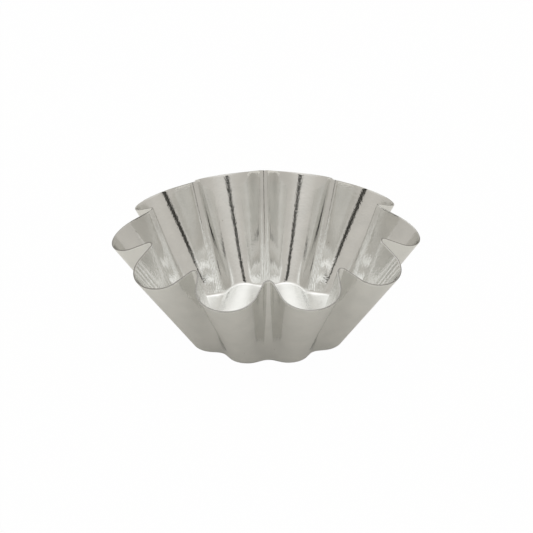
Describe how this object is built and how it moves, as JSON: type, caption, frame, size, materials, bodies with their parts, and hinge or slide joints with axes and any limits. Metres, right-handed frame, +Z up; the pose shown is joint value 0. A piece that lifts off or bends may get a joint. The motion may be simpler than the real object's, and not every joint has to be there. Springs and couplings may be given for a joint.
{
  "type": "brioche mould",
  "caption": "Small open baking mould of pressed tinplate with a deeply fluted, flaring wall, a wavy cut edge and a flat base to stand on.",
  "frame": {"origin": "middle of the flat underside, where the mould's upright axis meets the surface it stands on", "axes": "+Z up along the mould's axis, out of the open top; +X through the middle of a lobe; -Y through the middle of a fold"},
  "size_m": [0.08, 0.077, 0.0296],
  "materials": {
    "tinplate": "bright tinned steel sheet, softly mirror-like, with a faint grain"
  },
  "bodies": {
    "root": {"mould": "tinplate"}
  },
  "joints": []
}
